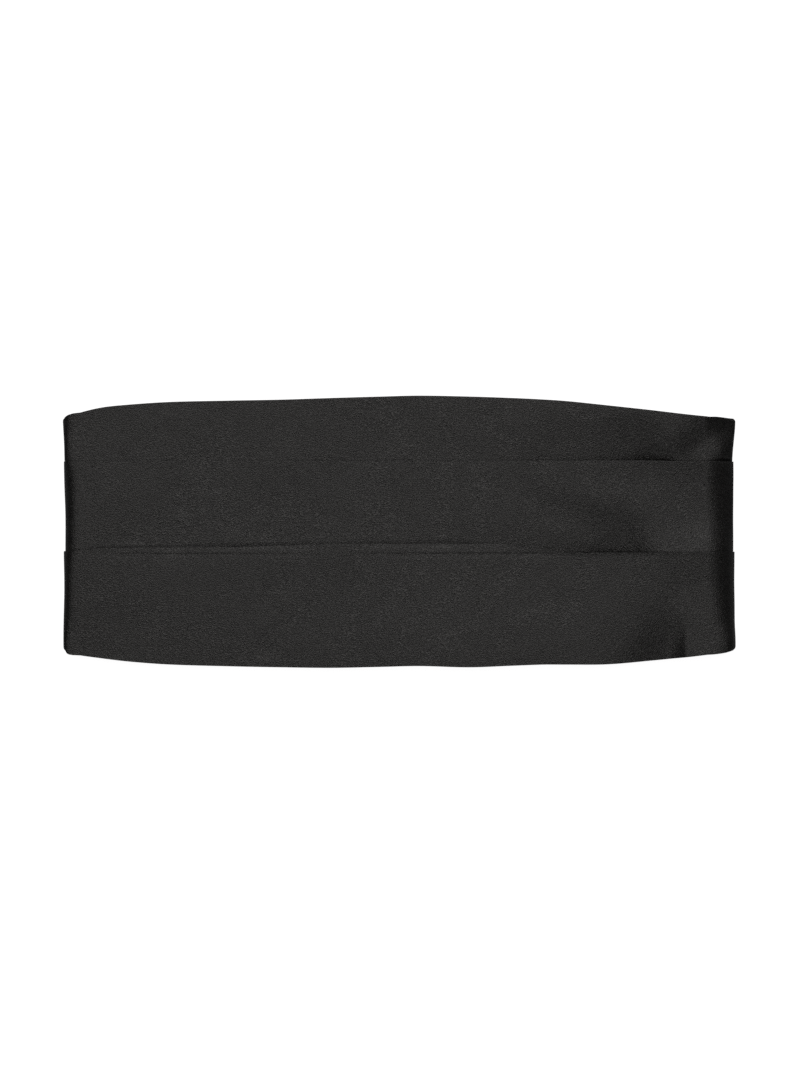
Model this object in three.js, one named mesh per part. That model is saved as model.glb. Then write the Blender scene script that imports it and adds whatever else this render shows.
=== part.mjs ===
// A pleated satin cummerbund, fastened into its loop and laid down flat, face up.
// The front is a full-height panel whose upper part is the top pleat, with a middle and a lower
// pleat lapped over it, each one opening upwards. At both sides the cloth turns a soft fold and
// runs back underneath, narrowing to an end tab, a strap and a plain clasp at the centre of the back.
//
// Millimetres, +Z up. +X runs to the right along the front, +Y towards the top edge.
// The origin is at the centre of the flat loop's underside, on the surface that it lies on.

import * as THREE from 'three';

// Flat size of the loop, seen from straight above
const PANEL_WIDTH = 335;
const PANEL_HEIGHT = 135.5;

// Cloth and how its walls lie on each other
const CLOTH = 1.0;
const LAP_GAP = 0.3;
const PLEAT_LAP = 17;
const HEM_SINK = 0.3;
const HEM_SETBACK = 1;

// Soft folds at the two sides, each a half ellipse: the hollow that each one leaves inside it
const LEFT_HOLLOW_REACH = 3.9;
const LEFT_HOLLOW_HEIGHT = 6.3;
const RIGHT_HOLLOW_REACH = 8.4;
const RIGHT_HOLLOW_HEIGHT = 9.3;
const FRONT_SAG = 1.1;
const DENT_DEPTH = 1.5;

// Back closure: end tabs, straps and clasp
const TAB_LENGTH = 26;
const TAB_MARGIN = 3;
const STRAP_WIDTH = 30;
const STRAP_THICKNESS = 1.0;
const STRAP_SEATING = 12;
const STRAP_SHOWING = 19;
const STRAP_SLOPE = 9;
const RETURN_CLEARANCE = 5.5;
const CLASP_LENGTH = 30;
const CLASP_THICKNESS = 1.6;
const CLASP_BAR = 3.5;
const CLASP_CENTRE_BAR = 6;
const CLASP_CORNER = 3;
const CLASP_WINDOW_CORNER = 1;
const CLASP_SIDE_CLEARANCE = 1;

// How finely the cloth is divided: along the loop, and down each pleat
const FRONT_STEPS = 26;
const FOLD_STEPS = 8;
const BACK_STEPS = 5;
const TOP_STEPS = 4;
const MIDDLE_STEPS = 5;
const LOWER_STEPS = 8;
const LAP_STEPS = 2;
const HEM_STEPS = 3;
const TURN_STEPS = 8;
const CORNER_STEPS = 5;

const LAYER_STEP = CLOTH + LAP_GAP;
const STACK = 3 * CLOTH + 2 * LAP_GAP;
const HALF_WIDTH = PANEL_WIDTH / 2;
const HALF_HEIGHT = PANEL_HEIGHT / 2;
const LEFT_FOLD_REACH = LEFT_HOLLOW_REACH + STACK;
const LEFT_FOLD_HEIGHT = LEFT_HOLLOW_HEIGHT + 2 * STACK;
const RIGHT_FOLD_REACH = RIGHT_HOLLOW_REACH + STACK;
const RIGHT_FOLD_HEIGHT = RIGHT_HOLLOW_HEIGHT + 2 * STACK;

// Places along the back, outwards from its centre
const TAB_MOUTH = CLASP_LENGTH / 2 + STRAP_SHOWING;
const TAB_SEAM = TAB_MOUTH + TAB_LENGTH;
const PANEL_END = TAB_SEAM + LAP_GAP;

// Heights of the edges and of the two pleat folds, a row for each section from left to right.
// along: -1 and 1 are the side folds, -2 and 2 the panel's ends at the back, 0 the front's middle.
// top, middle, lower, bottom: shares of half the panel's height. lap: share of PLEAT_LAP.
const SECTIONS = [
  { along: -2.0, top: 0.500, middle: 0.265, lower: -0.085, bottom: -0.530, lap: 0.5 },
  { along: -1.5, top: 0.700, middle: 0.390, lower: -0.110, bottom: -0.730, lap: 0.75 },
  { along: -1.0, top: 0.845, middle: 0.512, lower: -0.135, bottom: -0.885, lap: 1 },
  { along: -0.9, top: 0.908, middle: 0.522, lower: -0.128, bottom: -0.925, lap: 1 },
  { along: -0.75, top: 0.943, middle: 0.526, lower: -0.110, bottom: -0.960, lap: 1 },
  { along: -0.5, top: 0.962, middle: 0.527, lower: -0.100, bottom: -0.988, lap: 1 },
  { along: -0.27, top: 0.975, middle: 0.527, lower: -0.086, bottom: -1.000, lap: 1 },
  { along: 0.06, top: 1.000, middle: 0.527, lower: -0.085, bottom: -0.987, lap: 1 },
  { along: 0.3, top: 0.986, middle: 0.527, lower: -0.087, bottom: -0.986, lap: 1 },
  { along: 0.54, top: 0.948, middle: 0.528, lower: -0.152, bottom: -0.978, lap: 1 },
  { along: 0.75, top: 0.890, middle: 0.527, lower: -0.151, bottom: -0.946, lap: 1 },
  { along: 0.9, top: 0.847, middle: 0.516, lower: -0.151, bottom: -0.911, lap: 1 },
  { along: 1.0, top: 0.823, middle: 0.514, lower: -0.148, bottom: -0.870, lap: 1 },
  { along: 1.5, top: 0.690, middle: 0.395, lower: -0.120, bottom: -0.715, lap: 0.75 },
  { along: 2.0, top: 0.500, middle: 0.265, lower: -0.085, bottom: -0.530, lap: 0.5 },
];

// Soft hollows of the front, and swells where the depth is negative.
// along, halfLength: shares of half the width. across, halfSpan: shares of half the height.
// depth: share of DENT_DEPTH.
const DENTS = [
  { along: 0.79, across: -0.80, depth: 1.0, halfLength: 0.07, halfSpan: 0.16 },
  { along: 0.68, across: -0.03, depth: 0.7, halfLength: 0.10, halfSpan: 0.14 },
  { along: 0.88, across: 0.76, depth: 0.8, halfLength: 0.09, halfSpan: 0.13 },
  { along: 0.87, across: 0.05, depth: -0.5, halfLength: 0.07, halfSpan: 0.22 },
  { along: -0.80, across: -0.02, depth: 0.4, halfLength: 0.14, halfSpan: 0.12 },
];

const satin = new THREE.MeshStandardMaterial({ color: 0x1c1b1b, roughness: 0.5, metalness: 0 });
const strapWeave = new THREE.MeshStandardMaterial({ color: 0x161616, roughness: 0.85, metalness: 0 });
const claspMetal = new THREE.MeshStandardMaterial({ color: 0xa8a8a6, roughness: 0.3, metalness: 1 });

// Value of one column of a table at a place along it, on a smooth curve through the rows
function readTable(rows, along, column) {
  const last = rows.length - 1;
  const place = THREE.MathUtils.clamp(along, rows[0].along, rows[last].along);
  let i = 0;
  while (i < last - 1 && place > rows[i + 1].along) i++;
  const slopeAt = (k) => {
    const before = rows[Math.max(k - 1, 0)];
    const after = rows[Math.min(k + 1, last)];
    return (after[column] - before[column]) / (after.along - before.along);
  };
  const run = rows[i + 1].along - rows[i].along;
  const t = (place - rows[i].along) / run;
  const start = (1 + 2 * t) * (1 - t) ** 2;
  const end = t * t * (3 - 2 * t);
  return start * rows[i][column] + end * rows[i + 1][column]
    + run * (t * (1 - t) ** 2 * slopeAt(i) - t * t * (1 - t) * slopeAt(i + 1));
}

// One place on the loop's outer skin: its point, its outward normal and the heights of its section
function station(x, z, normalX, normalZ, along, onFront) {
  const length = Math.hypot(normalX, normalZ);
  const height = (column) => HALF_HEIGHT * readTable(SECTIONS, along, column);
  const lapEnd = height('lower') - PLEAT_LAP * readTable(SECTIONS, along, 'lap');
  return {
    x, z, onFront,
    normalX: normalX / length,
    normalZ: normalZ / length,
    top: height('top'),
    middle: height('middle'),
    lower: height('lower'),
    bottom: height('bottom'),
    lapEnd,
    reliefEnd: (lapEnd + height('bottom')) / 2,
  };
}

function frontStations() {
  const left = -HALF_WIDTH + LEFT_FOLD_REACH;
  const right = HALF_WIDTH - RIGHT_FOLD_REACH;
  const rise = RIGHT_FOLD_HEIGHT - LEFT_FOLD_HEIGHT;
  const made = [];
  for (let i = 1; i < FRONT_STEPS; i++) {
    const share = i / FRONT_STEPS;
    const x = THREE.MathUtils.lerp(left, right, share);
    const z = LEFT_FOLD_HEIGHT + rise * THREE.MathUtils.smoothstep(share, 0, 1)
      - FRONT_SAG * Math.sin(Math.PI * share) ** 2;
    const slope = (rise * 6 * share * (1 - share) - FRONT_SAG * Math.PI * Math.sin(2 * Math.PI * share))
      / (right - left);
    made.push(station(x, z, -slope, 1, x / HALF_WIDTH, true));
  }
  return made;
}

// A side fold, from the front to the back; side is -1 on the left and 1 on the right
function foldStations(side, reach, height) {
  const made = [];
  for (let i = 0; i <= FOLD_STEPS; i++) {
    const angle = Math.PI * (0.5 - i / FOLD_STEPS);
    const out = Math.cos(angle) * reach;
    const x = side * (HALF_WIDTH - reach + out);
    const z = height / 2 * (1 + Math.sin(angle));
    const onFront = angle > 0;
    const along = onFront ? x / HALF_WIDTH : side + side * backShare(Math.abs(x));
    made.push(station(x, z, side * Math.cos(angle) / reach, Math.sin(angle) * 2 / height, along, onFront));
  }
  return made;
}

// How far a place under the front lies from the side fold, as a share of the way to the panel's end
function backShare(distanceFromMiddle) {
  return (HALF_WIDTH - distanceFromMiddle) / (HALF_WIDTH - PANEL_END);
}

function backStations(side, reach) {
  const made = [];
  for (let i = 1; i <= BACK_STEPS; i++) {
    const x = THREE.MathUtils.lerp(HALF_WIDTH - reach, PANEL_END, i / BACK_STEPS);
    made.push(station(side * x, 0, 0, -1, side + side * backShare(x), false));
  }
  return made;
}

// The whole cloth from its left end at the back, round the front, to its right end at the back
const STATIONS = [
  ...backStations(-1, LEFT_FOLD_REACH).reverse(),
  ...foldStations(-1, LEFT_FOLD_REACH, LEFT_FOLD_HEIGHT).reverse(),
  ...frontStations(),
  ...foldStations(1, RIGHT_FOLD_REACH, RIGHT_FOLD_HEIGHT),
  ...backStations(1, RIGHT_FOLD_REACH),
];

// Depth of each layer's outer face below the loop's skin. Every pleat stands proud at its fold
// and sinks by one layer towards the next pleat, which laps over it.
function shareBetween(y, from, to) {
  return THREE.MathUtils.clamp((y - from) / (to - from), 0, 1);
}

function lowerDepth(s, y) {
  return HEM_SINK * shareBetween(y, s.lower, s.bottom);
}

function middleDepth(s, y) {
  const lapped = y < s.lower ? lowerDepth(s, y) : 0;
  return LAYER_STEP * shareBetween(y, s.middle, s.lower) + lapped;
}

function bodyDepth(s, y) {
  if (y >= s.middle) return LAYER_STEP * shareBetween(y, s.top, s.middle);
  if (y >= s.lapEnd) return middleDepth(s, y) + LAYER_STEP;
  const relief = 1 - shareBetween(y, s.lapEnd, s.reliefEnd);
  return lowerDepth(s, y) + LAYER_STEP * (1 + relief);
}

function dentDepth(s, y) {
  if (!s.onFront) return 0;
  let depth = 0;
  for (const dent of DENTS) {
    const u = (s.x / HALF_WIDTH - dent.along) / dent.halfLength;
    const v = (y / HALF_HEIGHT - dent.across) / dent.halfSpan;
    depth += dent.depth * DENT_DEPTH * Math.exp(-u * u - v * v);
  }
  return depth * THREE.MathUtils.smoothstep(s.normalZ, 0, 1);
}

// Heights at which a layer is drawn in a section, from its upper edge down.
// spans: pairs of [height at the span's foot, number of steps down to it].
function heightsDown(upper, spans) {
  const heights = [upper];
  let from = upper;
  for (const [foot, steps] of spans) {
    for (let i = 1; i <= steps; i++) heights.push(THREE.MathUtils.lerp(from, foot, i / steps));
    from = foot;
  }
  return heights;
}

// Closed outline of one layer in a section: down its outer face, round the lower edge,
// up its inner face and round the upper edge. Both edges are rounded over the cloth's thickness.
function layerOutline(s, depthAt, upper, spans) {
  const round = CLOTH / 2;
  const rounded = spans.map(([foot, steps], i) => [i === spans.length - 1 ? foot + round : foot, steps]);
  const heights = heightsDown(upper - round, rounded);
  const foot = spans[spans.length - 1][0];
  const outer = heights.map((y) => ({ y, depth: depthAt(s, y) }));
  const inner = heights.map((y) => ({ y, depth: depthAt(s, y) + CLOTH })).reverse();
  return [
    ...outer,
    { y: foot, depth: depthAt(s, foot + round) + round },
    ...inner,
    { y: upper, depth: depthAt(s, upper - round) + round },
  ];
}

// Closed solid through one outline at every station, with its two ends capped
function loftCloth(outlineAt) {
  const outlines = STATIONS.map(outlineAt);
  const ring = outlines[0].length;
  const positions = [];
  STATIONS.forEach((s, i) => {
    for (const { y, depth } of outlines[i]) {
      const sunk = depth + dentDepth(s, y);
      positions.push(s.x - s.normalX * sunk, y, s.z - s.normalZ * sunk);
    }
  });
  const indices = [];
  for (let i = 0; i < STATIONS.length - 1; i++) {
    for (let j = 0; j < ring; j++) {
      const a = i * ring + j;
      const b = i * ring + (j + 1) % ring;
      indices.push(a, b, b + ring, a, b + ring, a + ring);
    }
  }
  addCap(indices, ring, 0, true);
  addCap(indices, ring, (STATIONS.length - 1) * ring, false);
  const geometry = new THREE.BufferGeometry();
  geometry.setAttribute('position', new THREE.Float32BufferAttribute(positions, 3));
  geometry.setIndex(indices);
  return geometry;
}

// Closes one end of a loft: a strip of quads between the two faces and a triangle at each rounded edge
function addCap(indices, ring, first, facesBack) {
  const lowerTip = ring / 2 - 1;
  const upperTip = ring - 1;
  const innerOf = (outer) => upperTip - 1 - outer;
  const triangles = [
    [lowerTip - 1, lowerTip, innerOf(lowerTip - 1)],
    [innerOf(0), upperTip, 0],
  ];
  for (let j = 0; j < lowerTip - 1; j++) {
    triangles.push([j, j + 1, innerOf(j + 1)], [j, innerOf(j + 1), innerOf(j)]);
  }
  for (const [a, b, c] of triangles) {
    if (facesBack) indices.push(first + a, first + c, first + b);
    else indices.push(first + a, first + b, first + c);
  }
}

function namedMesh(name, geometry, material) {
  const mesh = new THREE.Mesh(geometry, material);
  mesh.name = name;
  return mesh;
}

// Full-height panel: its upper part is the top pleat, the rest carries the other two
function bodyPanel() {
  const geometry = loftCloth((s) => layerOutline(s, bodyDepth, s.top, [
    [s.middle, TOP_STEPS],
    [s.lower, MIDDLE_STEPS],
    [s.lapEnd, LAP_STEPS],
    [s.reliefEnd, LAP_STEPS],
    [s.bottom + HEM_SETBACK, HEM_STEPS],
  ]));
  return namedMesh('body_panel', geometry, satin);
}

function middlePleat() {
  const geometry = loftCloth((s) => layerOutline(s, middleDepth, s.middle, [
    [s.lower, MIDDLE_STEPS],
    [s.lapEnd, LAP_STEPS],
  ]));
  return namedMesh('middle_pleat', geometry, satin);
}

function lowerPleat() {
  const geometry = loftCloth((s) => layerOutline(s, lowerDepth, s.lower, [[s.bottom, LOWER_STEPS]]));
  return namedMesh('lower_pleat', geometry, satin);
}

// Levels of the closure above the surface: the strap's return lies lowest, then the clasp, then the strap
const CLASP_LEVEL = STRAP_THICKNESS + LAP_GAP;
const POCKET_FLOOR = CLOTH;
const POCKET_ROOF = POCKET_FLOOR + STRAP_THICKNESS + 2 * LAP_GAP;
const STRAP_IN_TAB = POCKET_FLOOR + LAP_GAP + STRAP_THICKNESS / 2;
const STRAP_TURN_RADIUS = CLASP_THICKNESS / 2 + LAP_GAP + STRAP_THICKNESS / 2;
const TURN_CENTRE_LEVEL = CLASP_LEVEL + CLASP_THICKNESS / 2;

// Solid of a profile drawn in the X-Z plane, of a given width about the middle along Y
function extrudeAcross(shape, width) {
  const geometry = new THREE.ExtrudeGeometry(shape, { depth: width, bevelEnabled: false });
  geometry.rotateX(Math.PI / 2);
  geometry.translate(0, width / 2, 0);
  return geometry;
}

// End tab: two leaves of cloth joined at the panel's end, tapering to the strap held between them
function endTab(side, name) {
  const end = side < 0 ? STATIONS[0] : STATIONS[STATIONS.length - 1];
  const pocketEnd = TAB_MOUTH + STRAP_SEATING + LAP_GAP;
  const profile = new THREE.Shape([
    new THREE.Vector2(TAB_SEAM, 0),
    new THREE.Vector2(TAB_SEAM, STACK),
    new THREE.Vector2(pocketEnd, POCKET_ROOF + CLOTH),
    new THREE.Vector2(TAB_MOUTH, POCKET_ROOF + CLOTH),
    new THREE.Vector2(TAB_MOUTH, POCKET_ROOF),
    new THREE.Vector2(pocketEnd, POCKET_ROOF),
    new THREE.Vector2(pocketEnd, POCKET_FLOOR),
    new THREE.Vector2(TAB_MOUTH, POCKET_FLOOR),
    new THREE.Vector2(TAB_MOUTH, 0),
  ]);
  const geometry = extrudeAcross(profile, 1);
  const mouthHeight = STRAP_WIDTH + 2 * TAB_MARGIN;
  const seamHeight = end.top - end.bottom;
  const seamMiddle = side * (end.top + end.bottom) / 2;
  const position = geometry.getAttribute('position');
  for (let i = 0; i < position.count; i++) {
    const share = (position.getX(i) - TAB_MOUTH) / TAB_LENGTH;
    const height = THREE.MathUtils.lerp(mouthHeight, seamHeight, share);
    position.setY(i, seamMiddle * share + position.getY(i) * height);
  }
  if (side < 0) geometry.rotateZ(Math.PI);
  return namedMesh(name, geometry, satin);
}

// Outline of a flat band that follows a line drawn in the X-Z plane
function bandShape(line, thickness) {
  const near = [];
  const far = [];
  line.forEach((point, i) => {
    const before = line[Math.max(i - 1, 0)];
    const after = line[Math.min(i + 1, line.length - 1)];
    const aside = new THREE.Vector2(before.y - after.y, after.x - before.x).setLength(thickness / 2);
    near.push(point.clone().sub(aside));
    far.push(point.clone().add(aside));
  });
  return new THREE.Shape([...near, ...far.reverse()]);
}

// Strap: from its seat in the end tab, over the clasp's bar, round it and back underneath
function strap(side, name) {
  const barEdge = CLASP_LENGTH / 2 - CLASP_BAR;
  const overBar = TURN_CENTRE_LEVEL + STRAP_TURN_RADIUS;
  const slopeFoot = CLASP_LENGTH / 2 + LAP_GAP + STRAP_THICKNESS;
  const line = [
    new THREE.Vector2(TAB_MOUTH + STRAP_SEATING, STRAP_IN_TAB),
    new THREE.Vector2(slopeFoot + STRAP_SLOPE, STRAP_IN_TAB),
    new THREE.Vector2(slopeFoot, overBar),
  ];
  for (let i = 0; i <= TURN_STEPS; i++) {
    const angle = Math.PI * (0.5 + i / TURN_STEPS);
    line.push(new THREE.Vector2(
      barEdge + STRAP_TURN_RADIUS * Math.cos(angle),
      TURN_CENTRE_LEVEL + STRAP_TURN_RADIUS * Math.sin(angle),
    ));
  }
  line.push(new THREE.Vector2(TAB_MOUTH - RETURN_CLEARANCE, TURN_CENTRE_LEVEL - STRAP_TURN_RADIUS));
  const geometry = extrudeAcross(bandShape(line, STRAP_THICKNESS), STRAP_WIDTH);
  if (side < 0) geometry.rotateZ(Math.PI);
  return namedMesh(name, geometry, strapWeave);
}

function roundedRectangle(target, left, bottom, width, height, radius) {
  target.moveTo(left + radius, bottom);
  target.lineTo(left + width - radius, bottom);
  target.absarc(left + width - radius, bottom + radius, radius, -Math.PI / 2, 0);
  target.lineTo(left + width, bottom + height - radius);
  target.absarc(left + width - radius, bottom + height - radius, radius, 0, Math.PI / 2);
  target.lineTo(left + radius, bottom + height);
  target.absarc(left + radius, bottom + height - radius, radius, Math.PI / 2, Math.PI);
  target.lineTo(left, bottom + radius);
  target.absarc(left + radius, bottom + radius, radius, Math.PI, Math.PI * 1.5);
  return target;
}

// Clasp: a plain flat metal ring with a bar across its middle, the two straps looped round its ends
function clasp() {
  const windowHeight = STRAP_WIDTH + 2 * CLASP_SIDE_CLEARANCE;
  const windowLength = (CLASP_LENGTH - CLASP_CENTRE_BAR) / 2 - CLASP_BAR;
  const height = windowHeight + 2 * CLASP_BAR;
  const plate = roundedRectangle(
    new THREE.Shape(), -CLASP_LENGTH / 2, -height / 2, CLASP_LENGTH, height, CLASP_CORNER,
  );
  for (const left of [-CLASP_LENGTH / 2 + CLASP_BAR, CLASP_CENTRE_BAR / 2]) {
    plate.holes.push(roundedRectangle(
      new THREE.Path(), left, -windowHeight / 2, windowLength, windowHeight, CLASP_WINDOW_CORNER,
    ));
  }
  const geometry = new THREE.ExtrudeGeometry(plate, {
    depth: CLASP_THICKNESS, bevelEnabled: false, curveSegments: CORNER_STEPS,
  });
  geometry.translate(0, 0, CLASP_LEVEL);
  return namedMesh('clasp', geometry, claspMetal);
}

const cummerbund = new THREE.Group();
cummerbund.add(
  bodyPanel(),
  middlePleat(),
  lowerPleat(),
  endTab(-1, 'left_end_tab'),
  endTab(1, 'right_end_tab'),
  strap(-1, 'left_strap'),
  strap(1, 'right_strap'),
  clasp(),
);

export default cummerbund;
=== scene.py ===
import math

import bmesh
import bpy
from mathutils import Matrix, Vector, noise


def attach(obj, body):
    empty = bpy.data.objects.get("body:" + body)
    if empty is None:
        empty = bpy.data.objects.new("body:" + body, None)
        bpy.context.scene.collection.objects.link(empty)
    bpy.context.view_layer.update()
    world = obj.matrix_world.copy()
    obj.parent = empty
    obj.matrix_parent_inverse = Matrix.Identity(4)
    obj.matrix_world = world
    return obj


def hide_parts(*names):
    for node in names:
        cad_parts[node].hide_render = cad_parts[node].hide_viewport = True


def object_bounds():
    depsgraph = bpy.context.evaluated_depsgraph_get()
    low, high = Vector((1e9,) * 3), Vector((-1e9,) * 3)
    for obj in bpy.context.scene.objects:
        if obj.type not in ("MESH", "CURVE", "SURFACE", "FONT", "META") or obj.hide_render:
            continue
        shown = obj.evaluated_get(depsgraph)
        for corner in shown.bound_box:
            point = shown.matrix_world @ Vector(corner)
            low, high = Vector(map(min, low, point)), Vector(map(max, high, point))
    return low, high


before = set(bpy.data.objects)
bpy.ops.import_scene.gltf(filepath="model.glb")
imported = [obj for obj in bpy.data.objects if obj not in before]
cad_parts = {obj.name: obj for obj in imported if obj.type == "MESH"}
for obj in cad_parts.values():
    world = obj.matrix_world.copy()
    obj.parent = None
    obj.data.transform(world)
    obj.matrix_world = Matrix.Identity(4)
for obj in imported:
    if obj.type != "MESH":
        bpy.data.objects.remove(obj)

MM = 0.001
cad_low, cad_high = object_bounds()


# The camera. The sash is looked at from straight above through a long lens, and the frame is
# 400 mm wide and a third taller at the level of its front, with the sash across the middle.
PHOTO_UP = 1067
MM_A_PIXEL = 0.5
FRONT_LEVEL = 8 * MM
LENS_MM = 135
SENSOR_MM = 36
VIEW_CENTRE = (0.5 * MM, -1.0 * MM)

frame_up = PHOTO_UP * MM_A_PIXEL * MM
camera_data = bpy.data.cameras.new("camera")
camera_data.lens = LENS_MM
camera_data.sensor_width = SENSOR_MM
camera = bpy.data.objects.new("camera", camera_data)
camera.location = (*VIEW_CENTRE, FRONT_LEVEL + frame_up * LENS_MM / SENSOR_MM)
bpy.context.collection.objects.link(camera)
bpy.context.scene.camera = camera


# The table and the light. A pale table, lit from below so that it shows white, and one broad soft
# light overhead that leans a little towards the sash's top edge. The dark room does the rest.
TABLE_SIZE = 16.0
TABLE_GAP = 0.1 * MM
TABLE_GLOW = 0.95
MIRRORED_GLOW = 0.18
WHITE = (1, 1, 1, 1)
LIGHT_STRENGTH = 0.82
LIGHT_COLOUR = (1.0, 0.975, 0.955)
LIGHT_SPREAD = math.radians(50)
LIGHT_LEAN = math.radians(18)
ROOM_COLOUR = (1, 0.99, 0.98, 1)
ROOM_LEVEL = 0.01
LONG_WALLS = dict(near=0.45, far=0.9, level=1.0)
END_WALLS = dict(near=0.9, far=0.99, level=0.09)


def new_finish(name):
    """A new material, with its shader, its nodes and its links."""
    material = bpy.data.materials.new(name)
    material.use_nodes = True
    nodes, links = material.node_tree.nodes, material.node_tree.links
    return material, nodes["Principled BSDF"], nodes, links


bpy.ops.mesh.primitive_plane_add(size=TABLE_SIZE, location=(0, 0, -TABLE_GAP))
table = bpy.context.object
table.name = "table"
table_paint, table_shader, _, _ = new_finish("table_white")
table_shader.inputs["Base Color"].default_value = (0.6, 0.6, 0.6, 1)
table_shader.inputs["Roughness"].default_value = 0.9
table_shader.inputs["Specular IOR Level"].default_value = 0.1
table_shader.inputs["Emission Color"].default_value = WHITE
table_shader.inputs["Emission Strength"].default_value = TABLE_GLOW
table.data.materials.append(table_paint)
table.visible_diffuse = False
table.visible_glossy = False

# The white of the table is brighter to the eye than what the satin mirrors of it at its sides.
bpy.ops.mesh.primitive_plane_add(size=TABLE_SIZE, location=(0, 0, -2 * TABLE_GAP))
mirrored = bpy.context.object
mirrored.name = "mirrored_table"
mirrored_glow, mirrored_shader, _, _ = new_finish("mirrored_table_glow")
mirrored_shader.inputs["Base Color"].default_value = (0, 0, 0, 1)
mirrored_shader.inputs["Specular IOR Level"].default_value = 0
mirrored_shader.inputs["Emission Color"].default_value = WHITE
mirrored_shader.inputs["Emission Strength"].default_value = MIRRORED_GLOW
mirrored.data.materials.append(mirrored_glow)
mirrored.visible_camera = False
mirrored.visible_diffuse = False

light_data = bpy.data.lights.new("overhead_light", "SUN")
light_data.energy = LIGHT_STRENGTH
light_data.angle = LIGHT_SPREAD
light_data.color = LIGHT_COLOUR
light = bpy.data.objects.new("overhead_light", light_data)
light.location = (0, 0.1, 1)
light.rotation_euler = (-LIGHT_LEAN, 0, 0)
bpy.context.collection.objects.link(light)

# The room is dark overhead. Its walls are pale beyond the sash's top and bottom edges and dim
# beyond its two ends, and only the satin's gloss picks them up, so they show from the sides.
room = bpy.data.worlds.new("room")
bpy.context.scene.world = room
room.use_nodes = True
room_nodes, room_links = room.node_tree.nodes, room.node_tree.links
direction = room_nodes.new("ShaderNodeTexCoord")
axes = room_nodes.new("ShaderNodeSeparateXYZ")
room_links.new(direction.outputs["Generated"], axes.inputs["Vector"])


def walls(axis, near, far, level):
    """The two walls across an axis. They fade in between two shares of the way to it."""
    either_way = room_nodes.new("ShaderNodeMath")
    either_way.operation = "ABSOLUTE"
    fade = room_nodes.new("ShaderNodeMapRange")
    fade.interpolation_type = "SMOOTHSTEP"
    fade.inputs["From Min"].default_value = near
    fade.inputs["From Max"].default_value = far
    fade.inputs["To Min"].default_value = ROOM_LEVEL
    fade.inputs["To Max"].default_value = level
    room_links.new(axes.outputs[axis], either_way.inputs[0])
    room_links.new(either_way.outputs["Value"], fade.inputs["Value"])
    return fade.outputs["Result"]


brighter = room_nodes.new("ShaderNodeMath")
brighter.operation = "MAXIMUM"
room_links.new(walls("Y", **LONG_WALLS), brighter.inputs[0])
room_links.new(walls("X", **END_WALLS), brighter.inputs[1])
room_links.new(brighter.outputs["Value"], room_nodes["Background"].inputs["Strength"])
room_nodes["Background"].inputs["Color"].default_value = ROOM_COLOUR
room.cycles_visibility.diffuse = False
bpy.context.scene.view_settings.view_transform = "Standard"

# The satin's grain is as fine as one dot of the picture, and smoothing would wipe it out.
bpy.context.scene.cycles.use_denoising = False


# The body panel. One length of black satin that runs all round the loop, from its left end under
# the back, round both side folds and over the front. It is cut widest at the front's middle and
# narrows to its ends. Its upper third shows as the top pleat, and the other two are sewn onto it.
HALF_WIDTH = cad_high.x
HALF_HEIGHT = cad_high.y

# How far each side fold reaches inwards and how high it stands, how much the front sags between
# them, and where the panel ends under the back, lifted a little into its end tab.
LEFT_REACH = 8.5 * MM
LEFT_RISE = 13.5 * MM
RIGHT_REACH = 14 * MM
RIGHT_RISE = 16.5 * MM
FRONT_SAG = 1.1 * MM
PANEL_END = 60.3 * MM
SEAM_LIFT = 0.9 * MM
SEAM_RUN = 14 * MM

FRONT_STEPS = 216
FOLD_STEPS = 26
BACK_STEPS = 30

# The cloth, and how much thinner it is along a pressed fold.
CLOTH = 0.5 * MM
PRESSED_EDGE = 0.07 * MM
EDGE_TAPER = 2.5 * MM
EDGE_STEPS = 6

# How the pleats lap: the gap between layers, how far one runs on under the next, how far under a
# fold the layers part, how much lower the under one lies, at the sides and as a share of that on
# the front, and how far the panel's bottom edge stays behind the lower pleat's.
BETWEEN = 0.03 * MM
LAP = 16 * MM
LAP_RUN = 3 * MM
SIDE_STEP = 1.0 * MM
FRONT_STEP = 0.1
BOTTOM_INSET = 1.2 * MM

# The groove above a pleat fold: how deep it is at least where the fold stands clear, and how far up
# it runs: a length, and on top of that a multiple of its depth, in a tight and in an open fold.
LEAST_GROOVE = 0.16 * MM
GROOVE_RUN = 0.3 * MM
TIGHT_RUN, OPEN_RUN = 9, 1

# How sharply cloth sinks towards a fold and rises to a ridge: 1 is straight, more is steeper there.
SINK_CURVE = 1.6
RIDGE_CURVE = 1.5

# The rounding of the four corners, and the sway of worn cloth: how deep and how long its waves are,
# the level of the noise that they are read from, and the finer waves as shares of these.
CORNER = 1.8 * MM
SWAY = 0.26 * MM
SWAY_LONG = 34 * MM
SWAY_SLICE = 10 * MM
FINER_SWAY, FINER_TIMES = 0.4, 2.7

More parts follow.
